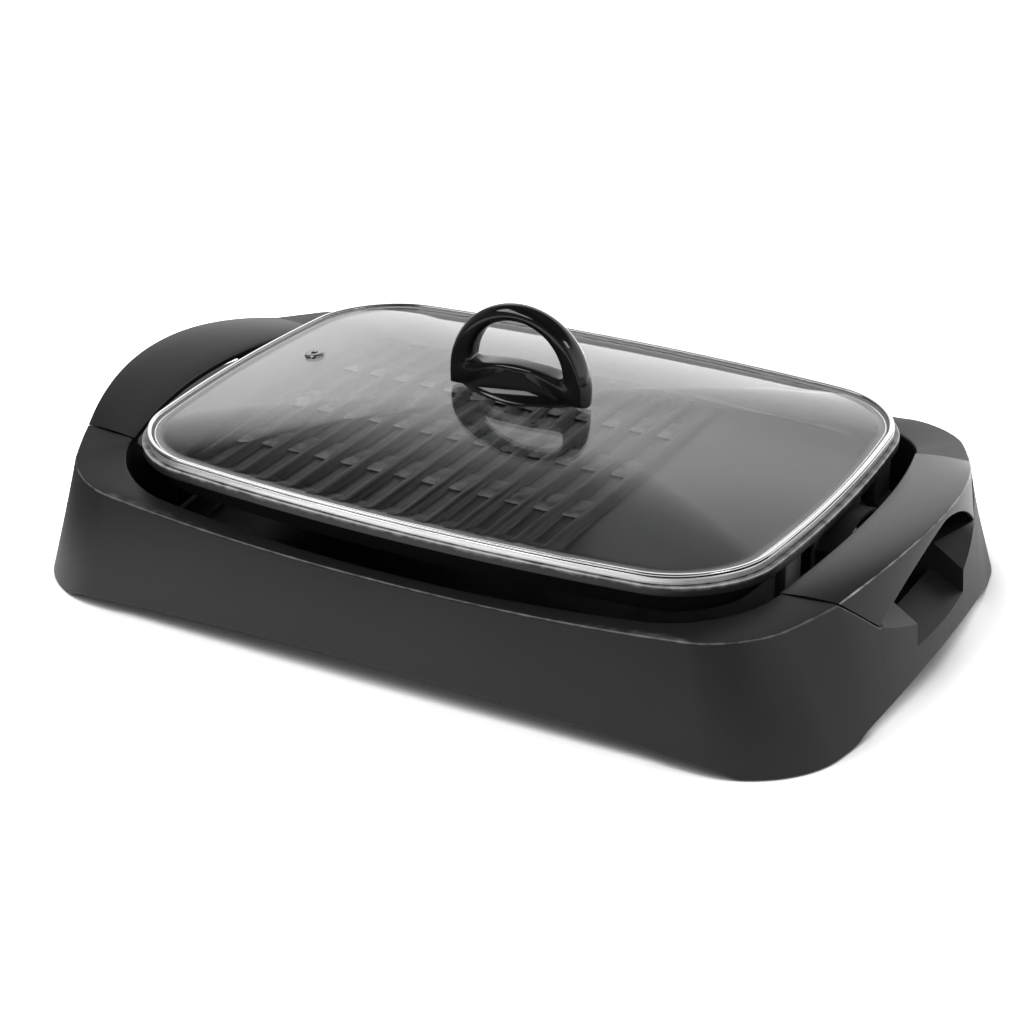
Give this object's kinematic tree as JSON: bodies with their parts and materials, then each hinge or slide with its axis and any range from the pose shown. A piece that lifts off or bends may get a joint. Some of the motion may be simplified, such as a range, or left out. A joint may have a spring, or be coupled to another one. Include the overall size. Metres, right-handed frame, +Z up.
{
  "type": "electric indoor grill with lid",
  "caption": "Tabletop electric grill: dark plastic base with bridge handles, lift-out ridged cooking plate with tubular heater, and a lift-off domed glass lid with a loop knob.",
  "frame": {"origin": "middle of the footprint, on the table plane under the rubber feet", "axes": "+X along the long side towards the terminal end, +Y towards the back, +Z up"},
  "size_m": [0.503, 0.32, 0.1576],
  "materials": {
    "base_plastic": "fine matte grain",
    "handle_plastic": "satin",
    "screw_steel": "plated",
    "foot_rubber": "matte",
    "pan_metal": "rolled sheet",
    "plate_coating": "dark non-stick coating on a casting",
    "sheath_metal": "dull, heat-tinted",
    "bracket_steel": "plated sheet",
    "pin_metal": "bright plating",
    "ceramic": "unglazed ceramic",
    "hood_plastic": "matte",
    "rim_steel": "brushed skirt with a polished bead",
    "lid_glass": "clear tempered glass",
    "grommet_metal": "polished",
    "gasket_rubber": "matte",
    "knob_plastic": "high gloss"
  },
  "bodies": {
    "base": {"base_housing": "base_plastic", "left_handle": "handle_plastic", "right_handle": "handle_plastic", "handle_screws": "screw_steel", "rubber_feet": "foot_rubber", "reflector_pan": "pan_metal", "pan_screws": "screw_steel"},
    "plate": {"cooking_plate": "plate_coating", "heating_element": "sheath_metal", "element_clamps": "bracket_steel", "plate_spacers": "bracket_steel", "clamp_screws": "screw_steel", "terminal_pins": "pin_metal", "pin_insulators": "ceramic", "earth_blade": "pin_metal", "probe_sleeve": "bracket_steel", "terminal_bracket": "bracket_steel", "bracket_screws": "screw_steel", "terminal_hood": "hood_plastic"},
    "lid": {"lid_rim": "rim_steel", "lid_glass": "lid_glass", "vent_grommet": "grommet_metal", "knob_gasket": "gasket_rubber", "lid_knob": "knob_plastic", "knob_washer": "screw_steel", "knob_screw": "screw_steel"}
  },
  "joints": [
    {"name": "plate_lift", "type": "slide", "parent": "base", "child": "plate", "axis": [0, 0, 1], "range_m": [0, 0.12]},
    {"name": "lid_lift", "type": "slide", "parent": "plate", "child": "lid", "axis": [0, 0, 1], "range_m": [0, 0.15]}
  ]
}
